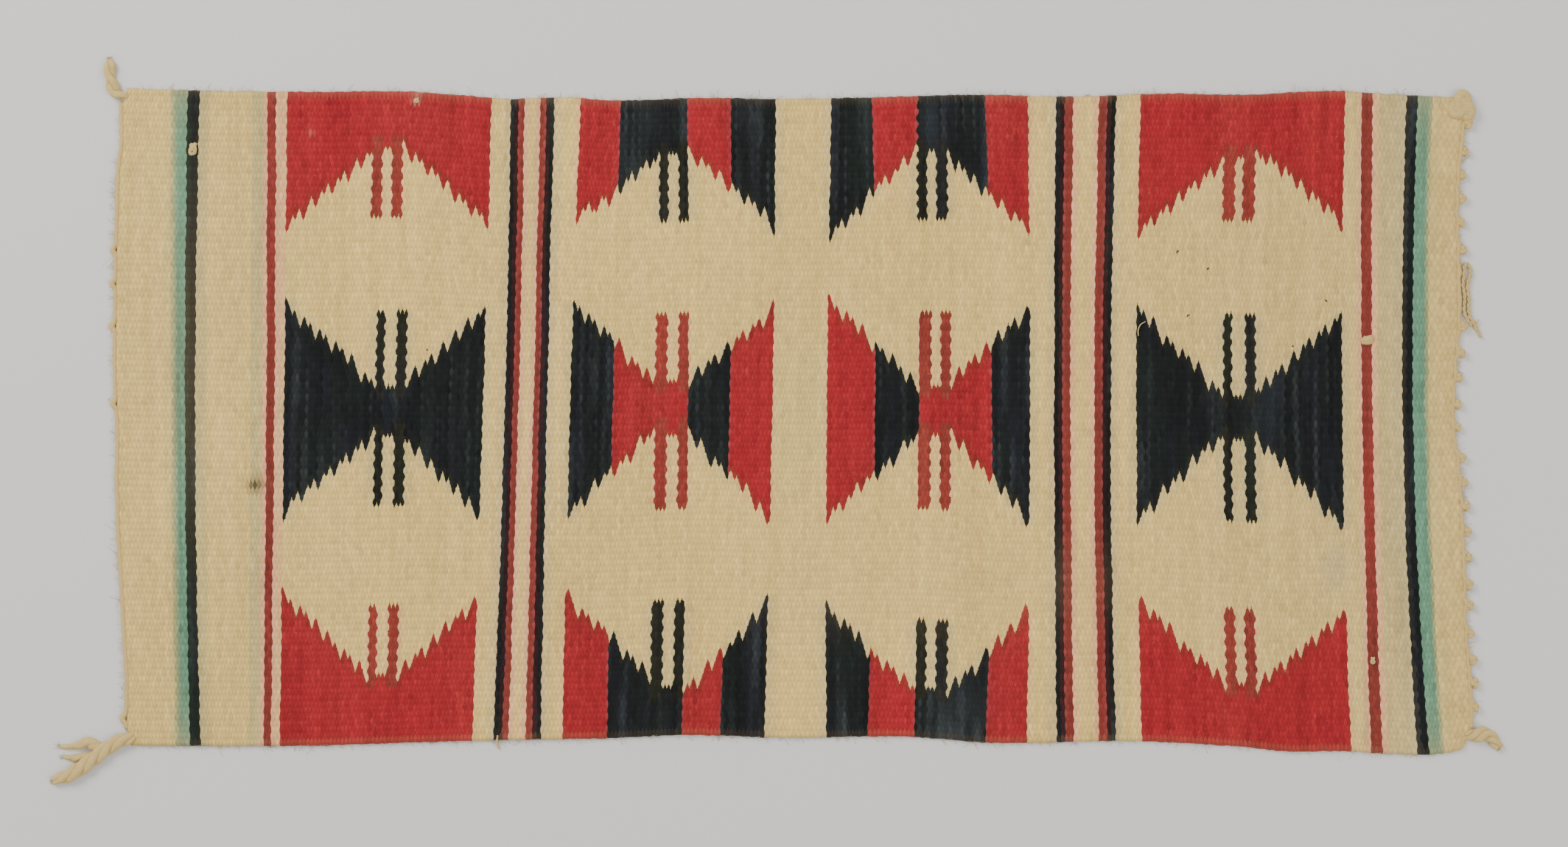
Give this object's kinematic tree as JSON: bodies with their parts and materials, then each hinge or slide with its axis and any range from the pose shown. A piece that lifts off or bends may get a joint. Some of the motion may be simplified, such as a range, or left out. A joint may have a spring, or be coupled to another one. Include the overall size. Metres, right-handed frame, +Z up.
{
  "type": "navajo rug",
  "caption": "Small rectangular hand-woven wool rug, lying flat, with stripes, stepped hourglass motifs, corded ends and yarn tails at its corners.",
  "frame": {"origin": "under the middle of the rug's whole box, on the floor that it lies on", "axes": "+X along the warps, the long side; +Y across the rug, towards the edge with the tail at its left; +Z up from the floor"},
  "size_m": [0.9849, 0.4939, 0.0066],
  "materials": {
    "woven_wool": "matt hand-spun wool, weft-faced, cream with red, black and green",
    "warp_yarn": "matt undyed plied yarn"
  },
  "bodies": {
    "root": {"woven_field": "woven_wool", "left_end_cord": "warp_yarn", "right_end_cord": "warp_yarn", "top_left_tail": "warp_yarn", "bottom_left_tassel": "warp_yarn", "bottom_right_tail": "warp_yarn", "corner_knot": "warp_yarn", "slipped_warp_end": "warp_yarn"}
  },
  "joints": []
}
